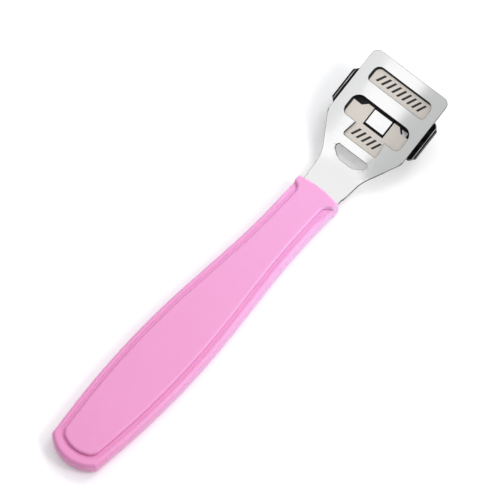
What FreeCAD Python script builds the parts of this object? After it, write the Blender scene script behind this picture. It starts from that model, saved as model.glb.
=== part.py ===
import FreeCAD, Part
import math
import os
import Sketcher

# Callus shaver: a moulded handle, a steel head plate, a blade and a bow. Millimetres, +Y towards the head.
doc = FreeCAD.newDocument("callus_shaver")

driving = {
    # Handle outline from above, measured from the butt, with its corners before rounding. The swell lies at a
    # share of the length, and each bend takes a share of the side before it.
    "handle_length": 124.5,
    "butt_width": 18.6,
    "butt_slope": 43.0,
    "butt_straight": 0.5,
    "butt_corner": 1.2,
    "swell_width": 26.8,
    "swell_share": 0.341,
    "swell_bend": 0.75,
    "neck_width": 16.4,
    "neck_from_front": 24.5,
    "neck_bend": 0.2,
    "front_radius": 25.0,
    "front_slope": 8.0,
    # Handle section: a core with a raised panel on both faces, and a groove round each panel
    "core_thickness": 5.0,
    "core_round": 1.3,
    "panel_height": 1.0,
    "panel_inset": 2.9,
    "panel_from_butt": 3.95,
    "panel_slope": 25.0,
    "panel_reach": 4.2,
    "panel_corner": 4.0,
    "panel_round": 0.8,
    "groove_width": 1.2,
    "groove_depth": 0.35,
    "flare_from_front": 3.6,
    "flare_rise": 1.3,
    "flare_radius": 3.0,
    # Head plate: one sheet, bent up at the neck and arched across the head
    "sheet": 0.8,
    "plate_width": 31.0,
    "plate_corner": 2.6,
    "arch_radius": 60.0,
    "head_pitch": 18.0,
    "head_run": 31.0,
    "bend_length": 15.5,
    "neck_gap": 2.2,
    "side_to": 25.6,
    "shoulder_radius": 4.0,
    "waist_width": 16.4,
    "waist_at": 38.2,
    "waist_radius": 13.0,
    "neck_sheet_width": 14.5,
    "neck_seat": 2.0,
    "tang_width": 10.0,
    "tang_length": 60.0,
    "tang_round": 2.5,
    "blank_margin": 2.0,
    # Openings in the head plate, measured back from its top edge
    "slot_from": 4.2,
    "slot_to": 10.1,
    "slot_width": 23.4,
    "slot_top_round": 2.4,
    "slot_bottom_round": 1.2,
    "window_from": 15.2,
    "window_to": 23.3,
    "window_width": 23.4,
    "window_top_round": 3.2,
    "window_bottom_round": 2.0,
    "throat_to": 28.9,
    "throat_top_width": 12.0,
    "throat_bottom_width": 14.0,
    "throat_round": 0.8,
    "hole_from": 32.1,
    "hole_side_to": 33.8,
    "hole_to": 36.1,
    "hole_width": 12.6,
    "hole_bottom_width": 6.4,
    "hole_top_round": 0.9,
    "hole_side_round": 1.4,
    "hole_bottom_round": 4.0,
    # Tongue: it steps down through the blade and lies on the bow
    "tongue_width": 7.4,
    "tongue_to": 21.6,
    "joggle_length": 1.0,
    # Blade
    "blade_thickness": 0.4,
    "blade_drop": 0.5,
    "blade_play": 0.1,
    "blade_width": 28.4,
    "blade_from": 2.9,
    "blade_to": 30.2,
    "blade_corner": 3.0,
    "bevel_length": 1.2,
    "bevel_height": 0.25,
    "aperture_from": 14.4,
    "aperture_to": 16.1,
    "aperture_width": 24.6,
    "eye_rise": 1.6,
    "eye_width": 4.2,
    "eye_round": 0.8,
    "tongue_clearance": 0.45,
    "tongue_end_clearance": 0.8,
    # Bow
    "bow_thickness": 1.5,
    "bow_width": 34.8,
    "bow_from": 8.3,
    "bow_to": 23.2,
    "bow_chamfer": 1.9,
}

# Sizes that follow from the driving ones
derived = {
    "zero": "0",
    "half_butt": "butt_width / 2",
    "butt_radius": "(half_butt - butt_straight) / sin(butt_slope)",
    "butt_apex": "butt_radius * (1 - 1 / cos(butt_slope))",
    "butt_corner_at": "half_butt * tan(butt_slope) + butt_apex",
    "half_swell": "swell_width / 2",
    "half_neck": "neck_width / 2",
    "neck_at": "handle_length - neck_from_front",
    "swell_at": "handle_length * swell_share",
    "swell_reach": "swell_bend * (swell_at - butt_corner_at)",
    "neck_reach": "neck_bend * (neck_at - swell_at)",
    "rear_lean": "atan((half_swell - half_butt) / (swell_at - butt_corner_at))",
    "front_lean": "atan((half_swell - half_neck) / (neck_at - swell_at))",
    "swell_radius": "swell_reach / tan((rear_lean + front_lean) / 2)",
    "neck_radius": "neck_reach / tan(front_lean / 2)",
    "front_apex": "handle_length + front_radius * (1 / cos(front_slope) - 1)",
    "front_corner_at": "front_apex - half_neck * tan(front_slope)",
    "rim_top": "panel_height + core_thickness",
    "thickness": "rim_top + panel_height",
    "mid_height": "thickness / 2",
    "tang_height": "mid_height - sheet / 2",
    "bend_start": "handle_length + neck_gap",
    "bend_radius": "bend_length * 180 / pi / head_pitch",
    "bend_end": "bend_start + bend_radius * sin(head_pitch)",
    "bend_end_height": "mid_height + bend_radius * (1 - cos(head_pitch))",
    "tip": "bend_end + head_run * cos(head_pitch)",
    "tip_height": "bend_end_height + head_run * sin(head_pitch)",
    "overall_length": "tip + sheet / 2 * sin(head_pitch)",
    "half_plate": "plate_width / 2",
    "half_waist": "waist_width / 2",
    "half_neck_sheet": "neck_sheet_width / 2",
    "handle_front": "head_run + bend_length + neck_gap",
    "seat_start": "handle_length - neck_seat",
    "half_tang": "tang_width / 2",
    "tang_start": "handle_length - tang_length",
    "half_slot": "slot_width / 2",
    "half_window": "window_width / 2",
    "half_throat_top": "throat_top_width / 2",
    "half_throat_bottom": "throat_bottom_width / 2",
    "half_hole": "hole_width / 2",
    "half_hole_bottom": "hole_bottom_width / 2",
    "half_tongue": "tongue_width / 2",
    "tongue_start": "window_from + joggle_length",
    "tongue_run": "tongue_to - tongue_start",
    "joggle": "blade_drop + blade_thickness + blade_play",
    "plate_top": "-sheet / 2",
    "plate_bottom": "sheet / 2",
    "tongue_top": "plate_top + joggle",
    "tongue_bottom": "plate_bottom + joggle",
    "blade_top": "plate_bottom + blade_drop",
    "blade_bottom": "blade_top + blade_thickness",
    "blade_blank_from": "blade_from - blank_margin",
    "blade_blank_run": "blade_to - blade_from + 2 * blank_margin",
    "bow_top": "tongue_bottom",
    "bow_bottom": "bow_top + bow_thickness",
    "bow_blank_from": "bow_from - blank_margin",
    "bow_blank_run": "bow_to - bow_from + 2 * blank_margin",
    "half_blade": "blade_width / 2",
    "half_blade_end": "half_blade - blade_corner",
    "blade_side_from": "blade_from + blade_corner",
    "blade_side_to": "blade_to - blade_corner",
    "half_aperture": "aperture_width / 2",
    "half_eye": "half_aperture - eye_width",
    "half_ramp": "half_eye - eye_rise",
    "eye_from": "aperture_from - eye_rise",
    "eye_to": "aperture_to + eye_rise",
    "half_notch": "half_tongue + tongue_clearance",
    "notch_to": "tongue_to + tongue_end_clearance",
    "half_bow": "bow_width / 2",
    "half_bow_end": "half_bow - bow_chamfer",
    "bow_end_from": "bow_from + bow_chamfer",
    "bow_end_to": "bow_to - bow_chamfer",
    "half_blank": "half_bow + blank_margin",
    "half_trim": "half_blank + blank_margin",
    "trim_from": "-2 * blank_margin",
    "tang_to": "handle_front + tang_length",
    "trim_to": "tang_to + blank_margin",
    "cut_depth": "2 * trim_to",
    "clear_of_front": "handle_length + blank_margin",
    "groove_inset": "panel_inset - groove_width",
    "groove_from_butt": "panel_from_butt - groove_width",
    "groove_corner": "panel_corner + groove_width",
    "groove_flared": "half_neck + blank_margin",
}

# Panel and groove outlines, each inside the handle's own by its inset
for line in ("panel", "groove"):
    derived.update({
        f"{line}_radius": f"panel_reach / sin(panel_slope) + panel_inset - {line}_inset",
        f"{line}_apex": f"{line}_from_butt + {line}_radius * (1 - 1 / cos(panel_slope))",
        f"{line}_side": f"half_butt - butt_corner_at * tan(rear_lean) - {line}_inset / cos(rear_lean)",
        f"{line}_half_butt": f"({line}_side + {line}_apex * tan(rear_lean)) / (1 - tan(panel_slope) * tan(rear_lean))",
        f"{line}_corner_at": f"{line}_apex + {line}_half_butt * tan(panel_slope)",
        f"{line}_half_swell": f"half_swell - {line}_inset",
        f"{line}_swell_radius": f"swell_radius - {line}_inset",
        f"{line}_half_neck": f"half_neck - {line}_inset",
        f"{line}_neck_radius": f"neck_radius + {line}_inset",
        f"{line}_flare_at": f"front_corner_at - flare_from_front + {line}_inset - panel_inset",
        f"{line}_flare_end": f"{line}_flare_at + flare_rise",
    })

sizes = doc.addObject("Spreadsheet::Sheet", "sizes")
cells = {name: str(number) for name, number in driving.items()}
cells.update({name: "=" + formula for name, formula in derived.items()})
for row, (name, text) in enumerate(cells.items(), 1):
    sizes.set(f"A{row}", name)
    sizes.set(f"B{row}", text)
    sizes.setAlias(f"B{row}", name)
doc.recompute()


def size(name):
    return float(getattr(sizes, name))


# Sketches
def originPlane(body, role):
    for feature in body.Origin.OriginFeatures:
        if feature.Role == role:
            return feature


def newSketch(body, name, role, base=("0", "0", "0"), angle="0"):
    sketch = body.newObject("Sketcher::SketchObject", name)
    sketch.AttachmentSupport = [(originPlane(body, role), "")]
    sketch.MapMode = "FlatFace"
    sketch.AttachmentOffset = FreeCAD.Placement(FreeCAD.Vector(), FreeCAD.Rotation(FreeCAD.Vector(1, 0, 0), 1))
    for axis, expression in zip("xyz", base):
        sketch.setExpression(f"AttachmentOffset.Base.{axis}", expression)
    sketch.setExpression("AttachmentOffset.Rotation.Angle", angle)
    return sketch


def bind(sketch, alias, *parts):
    index = sketch.addConstraint(Sketcher.Constraint(*parts, size(alias)))
    sketch.setExpression(f"Constraints[{index}]", f"sizes.{alias}")


# Closed outline, alike on both sides of x = 0: the sizes x, y and rounding of its right-hand corners
def addOutline(sketch, corners):
    loop = [(FreeCAD.Vector(size(x) if x else 0, size(y), 0), rounding, None) for x, y, rounding in corners]
    for number in reversed(range(len(corners))):
        point, rounding, twin = loop[number]
        if point.x > 0:
            loop.append((FreeCAD.Vector(-point.x, point.y, 0), rounding, number))
    count = len(loop)

    firsts = []
    lasts = []
    arcs = []
    for number, (point, rounding, twin) in enumerate(loop):
        if rounding is None:
            firsts.append(point)
            lasts.append(point)
            arcs.append(None)
            continue
        before = (loop[number - 1][0] - point).normalize()
        after = (loop[(number + 1) % count][0] - point).normalize()
        halfAngle = before.getAngle(after) / 2
        first = point + before * (size(rounding) / math.tan(halfAngle))
        last = point + after * (size(rounding) / math.tan(halfAngle))
        centre = point + (before + after).normalize() * (size(rounding) / math.sin(halfAngle))
        turnsLeft = before.cross(after).z < 0
        rims = [first, last] if turnsLeft else [last, first]
        angles = [math.atan2(rim.y - centre.y, rim.x - centre.x) for rim in rims]
        circle = Part.Circle(centre, FreeCAD.Vector(0, 0, 1), size(rounding))
        arcs.append((Part.ArcOfCircle(circle, *angles), (1, 2) if turnsLeft else (2, 1)))
        firsts.append(first)
        lasts.append(last)

    lines = []
    for number in range(count):
        segment = Part.LineSegment(lasts[number], firsts[(number + 1) % count])
        lines.append(sketch.addGeometry(segment, False))
    marks = []
    for number, (point, rounding, twin) in enumerate(loop):
        before = lines[number - 1]
        after = lines[number]
        if rounding is None:
            sketch.addConstraint(Sketcher.Constraint("Coincident", before, 2, after, 1))
            marks.append(after)
            continue
        shape, (start, end) = arcs[number]
        arc = sketch.addGeometry(shape, False)
        mark = sketch.addGeometry(Part.Point(point), True)
        sketch.addConstraint(Sketcher.Constraint("Tangent", before, 2, arc, start))
        sketch.addConstraint(Sketcher.Constraint("Tangent", arc, end, after, 1))
        sketch.addConstraint(Sketcher.Constraint("PointOnObject", mark, 1, before))
        sketch.addConstraint(Sketcher.Constraint("PointOnObject", mark, 1, after))
        bind(sketch, rounding, "Radius", arc)
        marks.append(mark)

    for number, (x, y, rounding) in enumerate(corners):
        bind(sketch, y, "DistanceY", -1, 1, marks[number], 1)
        if x is None:
            sketch.addConstraint(Sketcher.Constraint("PointOnObject", marks[number], 1, -2))
        else:
            bind(sketch, x, "DistanceX", -1, 1, marks[number], 1)
    for number in range(len(corners), count):
        twin = loop[number][2]
        sketch.addConstraint(Sketcher.Constraint("Symmetric", marks[twin], 1, marks[number], 1, -2))


# Strip seen end on, between two levels below mid-sheet: flat, or with a share of the full arch, centred above
def addStrip(sketch, half, top, bottom, share=1):
    width = size(half)
    edges = []
    ends = []
    for level in (top, bottom):
        if share == 0:
            edge = Part.LineSegment(FreeCAD.Vector(-width, -size(level), 0), FreeCAD.Vector(width, -size(level), 0))
        else:
            centre = FreeCAD.Vector(0, size("arch_radius") / share, 0)
            radius = centre.y + size(level)
            reach = math.asin(width / radius)
            circle = Part.Circle(centre, FreeCAD.Vector(0, 0, 1), radius)
            edge = Part.ArcOfCircle(circle, -math.pi / 2 - reach, -math.pi / 2 + reach)
        ends.append((edge.StartPoint, edge.EndPoint))
        number = sketch.addGeometry(edge, False)
        edges.append(number)
        if share == 0:
            sketch.addConstraint(Sketcher.Constraint("Horizontal", number))
            bind(sketch, level, "DistanceY", number, 1, -1, 1)
        else:
            sketch.addConstraint(Sketcher.Constraint("PointOnObject", number, 3, -2))
            rise = sketch.addConstraint(Sketcher.Constraint("DistanceY", -1, 1, number, 3, centre.y))
            sketch.setExpression(f"Constraints[{rise}]", f"sizes.arch_radius / {share}")
            sweep = sketch.addConstraint(Sketcher.Constraint("Radius", number, radius))
            sketch.setExpression(f"Constraints[{sweep}]", f"sizes.arch_radius / {share} + sizes.{level}")
    for side, start in ((0, 1), (1, 2)):
        wall = sketch.addGeometry(Part.LineSegment(ends[0][side], ends[1][side]), False)
        sketch.addConstraint(Sketcher.Constraint("Coincident", edges[0], start, wall, 1))
        sketch.addConstraint(Sketcher.Constraint("Coincident", edges[1], start, wall, 2))
        sketch.addConstraint(Sketcher.Constraint("Vertical", wall))
    bind(sketch, half, "DistanceX", -1, 1, edges[0], 2)
    bind(sketch, half, "DistanceX", edges[0], 1, -1, 1)


# Features
def newBody(label):
    body = doc.addObject("PartDesign::Body", label)
    body.setExpression("Placement.Base.y", "-sizes.overall_length / 2")
    return body


def extrude(body, kind, name, sketch, length, symmetric=False, backwards=False):
    feature = body.newObject("PartDesign::" + kind, name)
    feature.Profile = sketch
    feature.SideType = "Symmetric" if symmetric else "One side"
    feature.Reversed = backwards
    feature.setExpression("Length", "sizes." + length)
    return feature


def loft(body, name, sections, ruled):
    feature = body.newObject("PartDesign::AdditiveLoft", name)
    feature.Profile = sections[0]
    feature.Sections = sections[1:]
    feature.Ruled = ruled
    return feature


def edgesAlong(feature, isWanted):
    return [f"Edge{number}" for number, edge in enumerate(feature.Shape.Edges, 1) if isWanted(edge)]


def isArc(edge, radius):
    return edge.Curve.TypeId == "Part::GeomCircle" and abs(edge.Curve.Radius - radius) < 0.01


def roundEdges(body, name, feature, heights, radius):
    doc.recompute()

    def liesLevel(edge):
        box = edge.BoundBox
        return any(abs(box.ZMin - height) + abs(box.ZMax - height) < 0.01 for height in heights)

    fillet = body.newObject("PartDesign::Fillet", name)
    fillet.Base = (feature, edgesAlong(feature, liesLevel))
    fillet.setExpression("Radius", "sizes." + radius)
    return fillet


# Flat plane of the head, with y running back from the plate's top edge
def headSketch(body, name):
    return newSketch(body, name, "XY_Plane", ("0", "sizes.tip", "sizes.tip_height"), "180 + sizes.head_pitch")


# Cross-section of the head at a distance back from the plate's top edge
def headSection(body, name, half, top, bottom, back):
    along = f"sizes.tip - {back} * cos(sizes.head_pitch)"
    height = f"sizes.tip_height - {back} * sin(sizes.head_pitch)"
    sketch = newSketch(body, name, "XZ_Plane", ("0", height, f"-({along})"), "sizes.head_pitch")
    addStrip(sketch, half, top, bottom)
    return sketch


def trim(body, name, corners):
    sketch = headSketch(body, name + "_outline")
    addOutline(sketch, [("half_trim", "trim_from", None), ("half_trim", "trim_to", None)])
    addOutline(sketch, corners)
    return extrude(body, "Pocket", name, sketch, "cut_depth", symmetric=True)


def openUp(body, name, corners):
    sketch = headSketch(body, name + "_outline")
    addOutline(sketch, corners)
    return extrude(body, "Pocket", name, sketch, "cut_depth", symmetric=True)


# Head plate: tang, bend and head
plate = newBody("head_plate")

tangOutline = newSketch(plate, "tang_outline", "XY_Plane", ("0", "0", "sizes.tang_height"))
addOutline(tangOutline, [
    ("half_tang", "tang_start", "tang_round"),
    ("half_tang", "seat_start", None),
    ("half_neck_sheet", "seat_start", None),
    ("half_neck_sheet", "bend_start", None),
])
extrude(plate, "Pad", "tang", tangOutline, "sheet")

bendSteps = 6
bendSections = []
for step in range(bendSteps + 1):
    part = step / bendSteps
    turn = f"sizes.head_pitch * {part}"
    along = f"sizes.bend_start + sizes.bend_radius * sin({turn})"
    height = f"sizes.mid_height + sizes.bend_radius * (1 - cos({turn}))"
    section = newSketch(plate, f"bend_section_{step}", "XZ_Plane", ("0", height, f"-({along})"), turn)
    addStrip(section, "half_blank", "plate_top", "plate_bottom", part * part * (3 - 2 * part))
    bendSections.append(section)
loft(plate, "bend", bendSections, ruled=False)

headStart = headSection(plate, "head_section", "half_blank", "plate_top", "plate_bottom", "sizes.head_run")
extrude(plate, "Pad", "head", headStart, "head_run", backwards=True)

trim(plate, "plate_edge", [
    ("half_plate", "zero", "plate_corner"),
    ("half_plate", "side_to", "shoulder_radius"),
    ("half_waist", "waist_at", "waist_radius"),
    ("half_neck_sheet", "handle_front", None),
    ("half_neck_sheet", "tang_to", None),
])
openUp(plate, "slot", [
    ("half_slot", "slot_from", "slot_top_round"),
    ("half_slot", "slot_to", "slot_bottom_round"),
])
openUp(plate, "window", [
    ("half_window", "window_from", "window_top_round"),
    ("half_window", "window_to", "window_bottom_round"),
    ("half_throat_top", "window_to", None),
    ("half_throat_bottom", "throat_to", "throat_round"),
])
openUp(plate, "neck_hole", [
    ("half_hole", "hole_from", "hole_top_round"),
    ("half_hole", "hole_side_to", "hole_side_round"),
    ("half_hole_bottom", "hole_to", "hole_bottom_round"),
])

bridgeSection = headSection(plate, "bridge_section", "half_tongue", "plate_top", "plate_bottom", "sizes.window_from")
tongueSection = headSection(plate, "tongue_section", "half_tongue", "tongue_top", "tongue_bottom",
                            "sizes.tongue_start")
loft(plate, "joggle", [bridgeSection, tongueSection], ruled=True)
tongueRoot = headSection(plate, "tongue_root", "half_tongue", "tongue_top", "tongue_bottom", "sizes.tongue_start")
extrude(plate, "Pad", "tongue", tongueRoot, "tongue_run")

# Blade, under the plate
blade = newBody("blade")
bladeEnd = headSection(blade, "blade_section", "half_blank", "blade_top", "blade_bottom", "sizes.blade_blank_from")
extrude(blade, "Pad", "blade_strip", bladeEnd, "blade_blank_run")
ground = trim(blade, "blade_edge", [
    ("half_blade_end", "blade_from", None),
    ("half_blade", "blade_side_from", None),
    ("half_blade", "blade_side_to", None),
    ("half_blade_end", "blade_to", None),
])
doc.recompute()
undersideRadius = size("arch_radius") + size("blade_bottom")
bevel = blade.newObject("PartDesign::Chamfer", "bevel")
bevel.Base = (ground, edgesAlong(ground, lambda edge: isArc(edge, undersideRadius)))
bevel.ChamferType = "Two distances"
bevel.setExpression("Size", "sizes.bevel_height")
bevel.setExpression("Size2", "sizes.bevel_length")
openUp(blade, "aperture", [
    ("half_ramp", "aperture_from", None),
    ("half_eye", "eye_from", None),
    ("half_aperture", "eye_from", "eye_round"),
    ("half_aperture", "eye_to", "eye_round"),
    ("half_eye", "eye_to", None),
    ("half_ramp", "aperture_to", None),
    ("half_notch", "aperture_to", None),
    ("half_notch", "notch_to", None),
])

# Bow, under the blade
bow = newBody("bow")
bowEnd = headSection(bow, "bow_section", "half_blank", "bow_top", "bow_bottom", "sizes.bow_blank_from")
extrude(bow, "Pad", "bow_strip", bowEnd, "bow_blank_run")
trim(bow, "bow_edge", [
    ("half_bow_end", "bow_from", None),
    ("half_bow", "bow_end_from", None),
    ("half_bow", "bow_end_to", None),
    ("half_bow_end", "bow_to", None),
])

# Corners of a panel or groove outline, up to where it flares out to a given half width
def insetCorners(line, flared):
    return [
        (None, f"{line}_apex", f"{line}_radius"),
        (f"{line}_half_butt", f"{line}_corner_at", f"{line}_corner"),
        (f"{line}_half_swell", "swell_at", f"{line}_swell_radius"),
        (f"{line}_half_neck", "neck_at", f"{line}_neck_radius"),
        (f"{line}_half_neck", f"{line}_flare_at", "flare_radius"),
        (flared, f"{line}_flare_end", None),
    ]


# Handle, moulded over the tang
blank = newBody("handle_blank")
coreOutline = newSketch(blank, "core_outline", "XY_Plane", ("0", "0", "sizes.panel_height"))
addOutline(coreOutline, [
    (None, "butt_apex", "butt_radius"),
    ("half_butt", "butt_corner_at", "butt_corner"),
    ("half_swell", "swell_at", "swell_radius"),
    ("half_neck", "neck_at", "neck_radius"),
    ("half_neck", "front_corner_at", None),
    (None, "front_apex", "front_radius"),
])
core = extrude(blank, "Pad", "core", coreOutline, "core_thickness")
roundEdges(blank, "core_edges", core, [size("panel_height"), size("rim_top")], "core_round")
for side, level in (("top", "sizes.rim_top"), ("underside", "sizes.panel_height")):
    grooveOutline = newSketch(blank, f"{side}_groove_outline", "XY_Plane", ("0", "0", level))
    addOutline(grooveOutline, insetCorners("groove", "groove_flared") + [("groove_flared", "clear_of_front", None)])
    extrude(blank, "Pocket", f"{side}_groove", grooveOutline, "groove_depth", backwards=side == "underside")
panelOutline = newSketch(blank, "panel_outline", "XY_Plane")
addOutline(panelOutline, insetCorners("panel", "half_neck") + [
    ("half_neck", "front_corner_at", None),
    (None, "front_apex", "front_radius"),
])
panels = extrude(blank, "Pad", "panels", panelOutline, "thickness")
roundEdges(blank, "panel_edges", panels, [0, size("thickness")], "panel_round")

handle = doc.addObject("Part::Cut", "handle")
handle.Base = blank
handle.Tool = plate
doc.recompute()

for item in doc.Objects:
    if "Invalid" in item.State or "Error" in item.State:
        raise SystemExit(f"{item.Name} failed: {item.State} {item.getStatusString()}")
nodes = [handle, plate, blade, bow]
for node in nodes:
    shape = node.Shape
    if shape.isNull() or not shape.isValid():
        raise SystemExit(f"{node.Label} has no valid shape")
    box = shape.BoundBox
    print(node.Label, len(shape.Solids), round(shape.Volume, 2), box)
os.makedirs("parts", exist_ok=True)
for node in nodes:
    node.Shape.exportStep(f"parts/{node.Label}.step")
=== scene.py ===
import math

import bmesh
import bpy
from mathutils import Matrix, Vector

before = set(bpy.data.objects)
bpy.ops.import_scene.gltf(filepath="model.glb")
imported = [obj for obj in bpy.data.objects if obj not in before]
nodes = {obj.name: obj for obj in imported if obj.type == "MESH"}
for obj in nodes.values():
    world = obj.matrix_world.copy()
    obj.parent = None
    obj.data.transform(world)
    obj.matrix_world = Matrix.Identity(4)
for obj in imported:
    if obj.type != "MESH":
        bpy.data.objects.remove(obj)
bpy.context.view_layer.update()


# Camera: looks steeply down on the shaver, whose handle points to the picture's lower left
cameraView = {
    "handleTurn": 49.53,         # degrees from the picture's horizontal, seen from above
    "height": 64.45,             # degrees above the floor
    "distance": 2.5,             # metres from the aim
    "pixelsPerMetre": 3129.0,    # at the aim
    "imageSize": 500,
    "sensorWidth": 36.0,         # millimetres
    "farClip": 50.0,
    "aim": (-0.0021, 0.0063, 0.0089),
}


def makeCamera(view):
    turn = math.radians(90 - view["handleTurn"])
    height = math.radians(view["height"])
    level = math.cos(height)
    towards = Vector((math.sin(turn) * level, -math.cos(turn) * level, math.sin(height)))
    data = bpy.data.cameras.new("camera")
    camera = bpy.data.objects.new("camera", data)
    bpy.context.scene.collection.objects.link(camera)
    camera.location = Vector(view["aim"]) + towards * view["distance"]
    camera.rotation_euler = towards.to_track_quat("Z", "Y").to_euler()
    data.sensor_width = view["sensorWidth"]
    data.lens = view["distance"] * view["pixelsPerMetre"] / view["imageSize"] * view["sensorWidth"]
    data.clip_end = view["farClip"]
    bpy.context.scene.camera = camera


makeCamera(cameraView)
print("camera placed")


# Nodes of a material
def newMaterial(name):
    material = bpy.data.materials.new(name)
    material.use_nodes = True
    tree = material.node_tree
    return material, tree, tree.nodes["Principled BSDF"]


def addNode(tree, kind, inputs=None, **settings):
    node = tree.nodes.new(kind)
    for name, value in settings.items():
        setattr(node, name, value)
    for name, value in (inputs or {}).items():
        if isinstance(value, bpy.types.NodeSocket):
            tree.links.new(value, node.inputs[name])
        else:
            node.inputs[name].default_value = value
    return node


def addMath(tree, operation, *values):
    inputs = dict(enumerate(values))
    return addNode(tree, "ShaderNodeMath", inputs, operation=operation).outputs[0]


# Masks are 0 or 1, so their product is where all of them hold
def multiply(tree, first, *others):
    for other in others:
        first = addMath(tree, "MULTIPLY", first, other)
    return first


def measure(tree, operation, *vectors):
    inputs = dict(enumerate(vectors))
    return addNode(tree, "ShaderNodeVectorMath", inputs, operation=operation).outputs["Value"]


def coordinate(tree, name):
    return addNode(tree, "ShaderNodeTexCoord").outputs[name]


def splitAxes(tree, vector):
    return addNode(tree, "ShaderNodeSeparateXYZ", {"Vector": vector}).outputs


def objectPoint(tree, stretch=(1, 1, 1), turn=(0, 0, 0)):
    inputs = {"Vector": coordinate(tree, "Object"), "Scale": stretch, "Rotation": turn}
    return addNode(tree, "ShaderNodeMapping", inputs).outputs[0]


def noise(tree, point, scale, detail=2.0):
    inputs = {"Vector": point, "Scale": scale, "Detail": detail}
    return addNode(tree, "ShaderNodeTexNoise", inputs).outputs["Fac"]


# The default range is that of most noise
def spread(tree, value, low, high, fromLow=0.3, fromHigh=0.7):
    inputs = {"Value": value, "From Min": fromLow, "From Max": fromHigh,
              "To Min": low, "To Max": high}
    return addNode(tree, "ShaderNodeMapRange", inputs).outputs["Result"]


def blendColours(tree, value, first, second):
    mix = addNode(tree, "ShaderNodeMix", data_type="RGBA")
    tree.links.new(value, mix.inputs["Factor"])
    for socket, colour in ((mix.inputs[6], first), (mix.inputs[7], second)):
        if isinstance(colour, bpy.types.NodeSocket):
            tree.links.new(colour, socket)
        else:
            socket.default_value = (*colour, 1)
    return mix.outputs[2]


def linkTo(tree, shader, **sockets):
    names = {"colour": "Base Color", "roughness": "Roughness", "metal": "Metallic"}
    for name, value in sockets.items():
        tree.links.new(value, shader.inputs[names[name]])


def addBump(tree, shader, height, strength, distance, edgeRadius=0):
    inputs = {"Height": height, "Strength": strength, "Distance": distance}
    bump = addNode(tree, "ShaderNodeBump", inputs)
    if edgeRadius:
        soft = addNode(tree, "ShaderNodeBevel", {"Radius": edgeRadius})
        tree.links.new(soft.outputs["Normal"], bump.inputs["Normal"])
    tree.links.new(bump.outputs["Normal"], shader.inputs["Normal"])


def dress(node, material):
    node.data.materials.clear()
    node.data.materials.append(material)


# The CAD mesh comes as loose triangles
def joinTriangles(node):
    weld = node.modifiers.new("weld", "WELD")
    weld.merge_threshold = 0.000001


# Handle: pink moulded plastic with a satin face, with painted light that makes it lighter toward
# the neck and on its right side wall there
handleLook = {
    "colour": (0.90, 0.350, 0.640),
    "deepColour": (0.88, 0.330, 0.615),
    "cloudSize": 55.0,               # blotches to the metre
    "cloudDetail": 3.0,
    # Painted light: the pink is lighter toward the neck
    "neckLitColour": (0.94, 0.415, 0.740),
    "neckLightFade": (-0.075, 0.030),     # along the handle, where the painted light toward the neck fades in
    # Painted light: the right side wall is lighter near the neck
    "wallColour": (0.97, 0.540, 0.885),
    "wallLightShare": 0.75,               # share of the wall colour, painted light on the right side wall at the neck
    "wallLightFacing": (0.2, 0.6),        # how far a face looks to the right
    "roughness": (0.34, 0.44),
    "roughnessSize": 900.0,
    "softness": 0.30,                # light that passes under the skin
    "softColour": (1.0, 0.5, 0.8),
    "softDepth": 0.0015,
    "grainSize": 3500.0,
    "grainStrength": 0.6,
    "grainHeight": 0.000012,
    "edgeRadius": 0.0003,
    "speck": (0.00590, 0.01030, 0.00600),  # of dust, in the groove
    "speckSize": 0.00034,
    "speckColour": (0.30, 0.03, 0.10),
}


def makeHandlePlastic(look):
    material, tree, shader = newMaterial("pinkPlastic")
    point = objectPoint(tree)
    cloud = spread(tree, noise(tree, point, look["cloudSize"], look["cloudDetail"]), 0, 1)
    pink = blendColours(tree, cloud, look["deepColour"], look["colour"])
    # Painted light: lighter toward the neck, and lighter still on the right side wall there
    litTowardNeck = spread(tree, splitAxes(tree, point)["Y"], 0, 1, *look["neckLightFade"])
    pink = blendColours(tree, litTowardNeck, pink, look["neckLitColour"])
    sideways = splitAxes(tree, coordinate(tree, "Normal"))["X"]
    onWall = spread(tree, sideways, 0, look["wallLightShare"], *look["wallLightFacing"])
    pink = blendColours(tree, multiply(tree, onWall, litTowardNeck), pink, look["wallColour"])
    away = measure(tree, "DISTANCE", point, look["speck"])
    onSpeck = addMath(tree, "LESS_THAN", away, look["speckSize"])
    pink = blendColours(tree, onSpeck, pink, look["speckColour"])
    rough = spread(tree, noise(tree, point, look["roughnessSize"]), *look["roughness"])
    linkTo(tree, shader, colour=pink, roughness=rough)
    grain = noise(tree, point, look["grainSize"])
    addBump(tree, shader, grain, look["grainStrength"], look["grainHeight"], look["edgeRadius"])
    shader.inputs["Subsurface Weight"].default_value = look["softness"]
    shader.inputs["Subsurface Radius"].default_value = look["softColour"]
    shader.inputs["Subsurface Scale"].default_value = look["softDepth"]
    return material


dress(nodes["handle"], makeHandlePlastic(handleLook))
joinTriangles(nodes["handle"])
print("handle dressed")


# Head plate: polished sheet whose cut edges are painted dark grey as shade, with the walls inside
# its openings painted black as shade and made rough
plateLook = {
    "colour": (0.90, 0.90, 0.89),
    # Painted shade: dark grey on the cut edges, black on the walls inside the openings
    "shadedEdgeColour": (0.22, 0.22, 0.225),
    "wallColour": (0.03, 0.028, 0.025),
    "wallRoughness": 0.6,
    "roughness": (0.16, 0.22),
    "polishStretch": (60, 900, 60),
    "polishDetail": 4.0,
    "pitch": math.radians(18),       # of the head
    "faceLevel": 0.8,                # faces less level than this are cut edges
    "openingsTo": 0.0124,            # half the width that holds the openings
    "edgeWidth": 0.00014,
    "edgeAngle": math.radians(35),   # edges sharper than this are bevelled
    "flatAngle": math.radians(0.3),  # triangles flatter than this are one face
}


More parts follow.
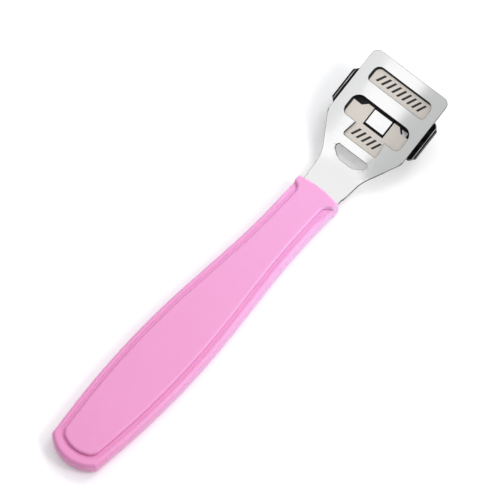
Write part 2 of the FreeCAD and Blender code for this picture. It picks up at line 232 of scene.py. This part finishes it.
def makePlateSteel(look, name, faceColour):
    material, tree, shader = newMaterial(name)
    inputs = {"Vector": coordinate(tree, "Normal"), "Rotation": (-look["pitch"] / 2, 0, 0)}
    facing = addNode(tree, "ShaderNodeMapping", inputs, vector_type="NORMAL").outputs[0]
    level = addMath(tree, "ABSOLUTE", splitAxes(tree, facing)["Z"])
    side = addMath(tree, "ABSOLUTE", splitAxes(tree, coordinate(tree, "Object"))["X"])
    # Painted shade: cut edges dark grey, walls inside the openings black
    onCut = addMath(tree, "LESS_THAN", level, look["faceLevel"])
    inside = addMath(tree, "LESS_THAN", side, look["openingsTo"])
    onWall = multiply(tree, onCut, inside)
    steel = blendColours(tree, onCut, faceColour, look["shadedEdgeColour"])
    steel = blendColours(tree, onWall, steel, look["wallColour"])
    polish = noise(tree, objectPoint(tree, look["polishStretch"]), 1.0, look["polishDetail"])
    rough = addMath(tree, "MAXIMUM", spread(tree, polish, *look["roughness"]),
                    multiply(tree, onWall, look["wallRoughness"]))
    linkTo(tree, shader, colour=steel, roughness=rough)
    shader.inputs["Metallic"].default_value = 1.0
    return material


# Flat triangles are merged before the bevel, so that it meets only real edges
def cutEdges(node, look, material):
    node.data.materials.append(material)
    joinTriangles(node)
    flatten = node.modifiers.new("flatten", "DECIMATE")
    flatten.decimate_type = "DISSOLVE"
    flatten.angle_limit = look["flatAngle"]
    edge = node.modifiers.new("cutEdge", "BEVEL")
    edge.use_clamp_overlap = False
    edge.width = look["edgeWidth"]
    edge.segments = 2
    edge.limit_method = "ANGLE"
    edge.angle_limit = look["edgeAngle"]
    edge.material = 1
    level = node.modifiers.new("levelNormals", "WEIGHTED_NORMAL")
    level.weight = 60  # large faces stay flat


dress(nodes["head_plate"], makePlateSteel(plateLook, "polishedSteel", plateLook["colour"]))
cutSteel = makePlateSteel(plateLook, "cutEdge", plateLook["shadedEdgeColour"])
cutEdges(nodes["head_plate"], plateLook, cutSteel)
print("head plate dressed")


# Blade: satin sheet, with plain slanted strokes where it is printed, and a painted shadow line
# inside the slot's top and left edges
bladeLook = {
    "colour": (0.75, 0.695, 0.635),
    "brightColour": (0.80, 0.745, 0.685),
    "grainStretch": (2500, 60, 60),
    "grainDetail": 4.0,
    "roughness": (0.36, 0.46),
    "metal": 0.85,                   # where there is no print and no painted shadow line
    # colour of the print and of the painted shadow line
    "printAndShadowColour": (0.012, 0.010, 0.009),
    "pitch": math.radians(18),       # of the head; the places below are along it
    "strokePitch": 0.0021,
    "strokeShare": 0.42,
    "strokeSlant": 0.5,
    "rows": (                        # middle along the blade, half height, number of strokes
        (0.0791, 0.00155, 9),
        (0.0606, 0.00155, 5),
    ),
    "shadowLineWidth": 0.00055,            # painted shadow line inside the slot's top and left edges
    "shadowLineFade": 0.6,                 # share of its width at which it is full
    "slotHalf": 0.0117,
    "slotTop": 0.08205,
    "slotCorner": 0.0024,
}


def markStrokes(tree, look, across, along):
    printAndShadow = 0.0
    for middle, halfHeight, strokes in look["rows"]:
        offset = addMath(tree, "SUBTRACT", along, middle)
        near = addMath(tree, "LESS_THAN", addMath(tree, "ABSOLUTE", offset), halfHeight)
        slanted = addMath(tree, "MULTIPLY_ADD", offset, -look["strokeSlant"], across)
        turns = addMath(tree, "DIVIDE", slanted, look["strokePitch"])
        within = addMath(tree, "LESS_THAN", addMath(tree, "ABSOLUTE", turns), strokes / 2)
        repeat = addMath(tree, "FRACT", addMath(tree, "ADD", turns, look["strokeShare"] / 2))
        stroke = addMath(tree, "LESS_THAN", repeat, look["strokeShare"])
        printAndShadow = addMath(tree, "MAXIMUM", multiply(tree, near, within, stroke), printAndShadow)
    return printAndShadow


# Painted shadow line along the slot's top and left edges, from how far a point lies outside the
# slot's rounded corner, measured from the centre of that corner
def markSlotShadow(tree, look, across, along):
    corner = look["slotCorner"]
    fromLeft = addMath(tree, "SUBTRACT", corner - look["slotHalf"], across)
    fromTop = addMath(tree, "SUBTRACT", along, look["slotTop"] - corner)
    inputs = {"X": addMath(tree, "MAXIMUM", fromLeft, 0.0),
              "Y": addMath(tree, "MAXIMUM", fromTop, 0.0)}
    out = measure(tree, "LENGTH", addNode(tree, "ShaderNodeCombineXYZ", inputs).outputs[0])
    return spread(tree, out, 0, 1, corner - look["shadowLineWidth"],
                  corner - look["shadowLineWidth"] * look["shadowLineFade"])


def makeBladeSteel(look):
    material, tree, shader = newMaterial("satinSteel")
    place = splitAxes(tree, objectPoint(tree, turn=(-look["pitch"], 0, 0)))
    strokes = markStrokes(tree, look, place["X"], place["Y"])
    line = markSlotShadow(tree, look, place["X"], place["Y"])
    # The print and the painted shadow line are both dark and not metal
    printAndShadow = addMath(tree, "MAXIMUM", strokes, line)
    grain = noise(tree, objectPoint(tree, look["grainStretch"]), 1.0, look["grainDetail"])
    steel = blendColours(tree, spread(tree, grain, 0, 1), look["colour"], look["brightColour"])
    steel = blendColours(tree, printAndShadow, steel, look["printAndShadowColour"])
    metal = addMath(tree, "SUBTRACT", look["metal"], multiply(tree, printAndShadow, look["metal"]))
    linkTo(tree, shader, colour=steel, roughness=spread(tree, grain, *look["roughness"]),
           metal=metal)
    return material


dress(nodes["blade"], makeBladeSteel(bladeLook))
print("blade dressed")


# Bow: gloss black finish, rubbed in places, with a painted highlight line along each lug and a
# painted highlight patch in the window's right end
bowLook = {
    "colour": (0.004, 0.004, 0.0045),
    "rubbedColour": (0.03, 0.03, 0.032),
    "rubbedSize": 420.0,
    "rubbedDetail": 4.0,
    "rubbedRange": (0.5, 0.75),
    "roughness": (0.14, 0.24),
    "gloss": 0.12,
    "grainSize": 1600.0,
    "grainStrength": 0.5,
    "grainHeight": 0.00001,
    # Painted highlights: the line along each lug and the patch in the window's right end
    "highlightColour": (0.80, 0.80, 0.81),
    "streakPlace": 0.01675,          # painted highlight line, from the middle, along each lug
    "streakWidth": 0.00022,
    "streakNoise": 260.0,
    "streakShades": (0.3, 1),
    "glintAcross": (0.0075, 0.0101),  # painted highlight patch in the window's right end
    "glintTop": 0.0705,
    "glintSlant": 0.86,              # of its left side
    "glintFacing": 0.5,              # only on faces that look up
    "glintNoise": 1900.0,
    "glintShades": (0.8, 1),
}


# Painted highlight line along each lug
def markLugHighlights(tree, look, point, across):
    offLine = addMath(tree, "SUBTRACT", addMath(tree, "ABSOLUTE", across), look["streakPlace"])
    distance = addMath(tree, "ABSOLUTE", offLine)
    onLine = addMath(tree, "LESS_THAN", distance, look["streakWidth"] / 2)
    shade = spread(tree, noise(tree, point, look["streakNoise"]), *look["streakShades"])
    return multiply(tree, onLine, shade)


# Painted highlight patch on the faces that look up, in the window's right end
def markGlint(tree, look, point, across, along):
    left, right = look["glintAcross"]
    below = addMath(tree, "SUBTRACT", along, look["glintTop"])
    slanted = addMath(tree, "MULTIPLY_ADD", below, look["glintSlant"], across)
    upwards = splitAxes(tree, coordinate(tree, "Normal"))["Z"]
    shade = spread(tree, noise(tree, point, look["glintNoise"]), *look["glintShades"])
    return multiply(
        tree,
        addMath(tree, "GREATER_THAN", slanted, left),
        addMath(tree, "LESS_THAN", across, right),
        addMath(tree, "LESS_THAN", below, 0.0),
        addMath(tree, "GREATER_THAN", upwards, look["glintFacing"]),
        shade,
    )


def makeBowFinish(look):
    material, tree, shader = newMaterial("blackFinish")
    point = objectPoint(tree)
    place = splitAxes(tree, point)
    rubbed = noise(tree, point, look["rubbedSize"], look["rubbedDetail"])
    black = blendColours(tree, spread(tree, rubbed, 0, 1, *look["rubbedRange"]),
                         look["colour"], look["rubbedColour"])
    lugHighlight = markLugHighlights(tree, look, point, place["X"])
    glint = markGlint(tree, look, point, place["X"], place["Y"])
    black = blendColours(tree, addMath(tree, "MAXIMUM", lugHighlight, glint), black,
                         look["highlightColour"])
    linkTo(tree, shader, colour=black, roughness=spread(tree, rubbed, *look["roughness"]))
    shader.inputs["Specular IOR Level"].default_value = look["gloss"]
    grain = noise(tree, point, look["grainSize"])
    addBump(tree, shader, grain, look["grainStrength"], look["grainHeight"])
    return material


dress(nodes["bow"], makeBowFinish(bowLook))
print("bow dressed")


# Floor and light
studio = {
    "floorSize": 6.0,
    "floorColour": (0.95, 0.95, 0.96, 1),
    "floorRoughness": 0.8,
    "floorGlow": 0.17,               # the backdrop's own white, for the camera and reflections
    "glowColour": (1, 1, 1, 1),
    "worldColour": (0.98, 0.99, 1.0, 1),
    "worldStrength": (0.15, 0.60),   # low behind the butt, and overhead
    "worldTilt": 0.9,                # of the change between them
    "worldRange": (-0.3, 0.4),
    "softboxes": {                   # place, the point they face, size and power
        "overhead": ((-0.045, 0.03, 0.80), (-0.045, 0.03, 0.0), (0.69, 0.80), 0.42),
        "lugHighlight": ((-0.175, -0.22, 0.79), (-0.175, -0.22, 0.0), (0.42, 0.48), 0.168),
        "neck": ((-0.20, 0.25, 0.79), (-0.20, 0.25, 0.0), (0.40, 0.46), 0.065),
        "right": ((0.58, 0.25, 0.72), (0.0, 0.0, 0.0), (0.3, 0.3), 2.6),
        "left": ((-0.85, 0.60, 0.95), (0.0, 0.0, 0.0), (0.5, 0.5), 1.3),
        "tip": ((0.10, 0.75, 0.95), (0.0, 0.0, 0.0), (0.4, 0.4), 3.2),
    },
}


def makeFloor(setup):
    mesh = bpy.data.meshes.new("floor")
    shape = bmesh.new()
    bmesh.ops.create_grid(shape, x_segments=1, y_segments=1, size=setup["floorSize"] / 2)
    shape.to_mesh(mesh)
    shape.free()
    piece = bpy.data.objects.new("floor", mesh)
    bpy.context.scene.collection.objects.link(piece)
    material, tree, shader = newMaterial("paleFloor")
    shader.inputs["Base Color"].default_value = setup["floorColour"]
    shader.inputs["Roughness"].default_value = setup["floorRoughness"]
    shader.inputs["Specular IOR Level"].default_value = 0.0
    shader.inputs["Emission Color"].default_value = setup["glowColour"]
    rays = addNode(tree, "ShaderNodeLightPath").outputs
    seen = addMath(tree, "MAXIMUM", rays["Is Camera Ray"], rays["Is Glossy Ray"])
    seen = addMath(tree, "MAXIMUM", seen, rays["Is Transmission Ray"])
    glow = multiply(tree, seen, setup["floorGlow"])
    tree.links.new(glow, shader.inputs["Emission Strength"])
    mesh.materials.append(material)


def makeLights(setup):
    for name, (place, target, size, power) in setup["softboxes"].items():
        data = bpy.data.lights.new(name, "AREA")
        data.shape = "RECTANGLE"
        data.size, data.size_y = size
        data.energy = power
        light = bpy.data.objects.new(name, data)
        light.location = place
        away = Vector(place) - Vector(target)
        light.rotation_euler = away.to_track_quat("Z", "Y").to_euler()
        bpy.context.scene.collection.objects.link(light)


def makeWorld(setup):
    world = bpy.data.worlds.new("studio")
    world.use_nodes = True
    tree = world.node_tree
    background = tree.nodes["Background"]
    background.inputs["Color"].default_value = setup["worldColour"]
    towards = splitAxes(tree, coordinate(tree, "Generated"))
    height = addMath(tree, "MULTIPLY_ADD", towards["Z"], setup["worldTilt"], towards["Y"])
    strength = spread(tree, height, *setup["worldStrength"], *setup["worldRange"])
    tree.links.new(strength, background.inputs["Strength"])
    bpy.context.scene.world = world
    bpy.context.scene.view_settings.view_transform = "Standard"


makeFloor(studio)
makeLights(studio)
makeWorld(studio)
print("floor and lights set")
